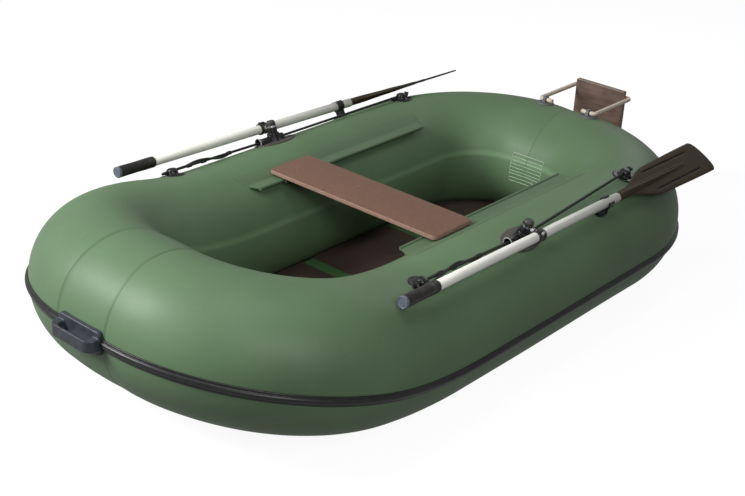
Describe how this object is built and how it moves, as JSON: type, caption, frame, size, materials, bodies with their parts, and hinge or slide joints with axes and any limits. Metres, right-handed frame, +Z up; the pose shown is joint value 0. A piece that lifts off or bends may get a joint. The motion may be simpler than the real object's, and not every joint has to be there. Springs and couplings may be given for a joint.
{
  "type": "inflatable rowing boat",
  "caption": "Inflatable rowing boat with a raised bow, sliding plank seat, hinged floor panels, two stowed oars in rowlocks and a hung-on transom.",
  "frame": {"origin": "on the floor below the middle of the boat's box", "axes": "+X to the bow, +Y to port, +Z up"},
  "size_m": [2.2168, 1.166, 0.4693],
  "materials": {
    "tube_fabric": "satin sage green PVC-coated cloth",
    "sheet_fabric": "dark green PVC-coated cloth",
    "rail_rubber": "black ribbed rubber",
    "floor_ply": "dark brown film-faced plywood",
    "hinge_cloth": "green PVC-coated cloth strip",
    "seat_rail_pvc": "green PVC with a corded edge",
    "black_rubber": "black moulded rubber",
    "grey_rubber": "slate grey moulded rubber",
    "rope": "braided black and green rope",
    "seat_ply": "pinkish brown film-faced plywood",
    "track_plastic": "black extruded track",
    "transom_ply": "brown film-faced plywood",
    "frame_paint": "cream painted aluminium tube",
    "clip_steel": "stainless saddle clips",
    "valve_plastic": "black valve with a cap",
    "shaft_alu": "warm off-white painted aluminium tube",
    "grip_rubber": "dark semi-gloss grip",
    "cap_plastic": "blue-grey end cap",
    "blade_plastic": "dark brown-black moulded plastic",
    "collar_plastic": "black clamp",
    "yoke_steel": "stainless rowlock yoke",
    "knob_plastic": "black knob nut"
  },
  "bodies": {
    "hull": {"bottom_sheet": "sheet_fabric", "bow_handle": "black_rubber", "eyelets": "black_rubber", "floor_hinge_strips": "hinge_cloth", "floor_panel_bow": "floor_ply", "floor_panel_middle": "floor_ply", "floor_panel_stern": "floor_ply", "inflation_valves": "valve_plastic", "lifeline_port": "rope", "lifeline_starboard": "rope", "oar_clips": "black_rubber", "rowlock_bases": "black_rubber", "rub_rail": "rail_rubber", "seat_rail_port": "seat_rail_pvc", "seat_rail_starboard": "seat_rail_pvc", "transom_brackets": "grey_rubber", "transom_frame_clips": "clip_steel", "transom_frame_lower": "frame_paint", "transom_frame_upper": "frame_paint", "transom_pad": "black_rubber", "transom_plate": "transom_ply", "tube_bow": "tube_fabric", "tube_port": "tube_fabric", "tube_starboard": "tube_fabric", "tube_stern": "tube_fabric"},
    "seat": {"seat_plank": "seat_ply", "seat_tracks": "track_plastic"},
    "port_oar": {"oar_blade_port": "blade_plastic", "oar_collar_port": "collar_plastic", "oar_grip_cap_port": "cap_plastic", "oar_grip_port": "grip_rubber", "oar_shaft_port": "shaft_alu", "rowlock_knob_port": "knob_plastic", "rowlock_yoke_port": "yoke_steel"},
    "starboard_oar": {"oar_blade_starboard": "blade_plastic", "oar_collar_starboard": "collar_plastic", "oar_grip_cap_starboard": "cap_plastic", "oar_grip_starboard": "grip_rubber", "oar_shaft_starboard": "shaft_alu", "rowlock_knob_starboard": "knob_plastic", "rowlock_yoke_starboard": "yoke_steel"}
  },
  "joints": [
    {"name": "oar_swing_port", "type": "hinge", "parent": "hull", "child": "port_oar", "pos_m": [0.00642, 0.46635, 0.38386], "axis": [0.0262, -0.3501, -0.9364], "range_deg": [0, 130]},
    {"name": "oar_swing_starboard", "type": "hinge", "parent": "hull", "child": "starboard_oar", "pos_m": [0.00642, -0.46635, 0.38386], "axis": [-0.0262, -0.3501, 0.9364], "range_deg": [0, 130]},
    {"name": "seat_slide", "type": "slide", "parent": "hull", "child": "seat", "axis": [1, 0, 0], "range_m": [-0.47, 0.08]}
  ]
}
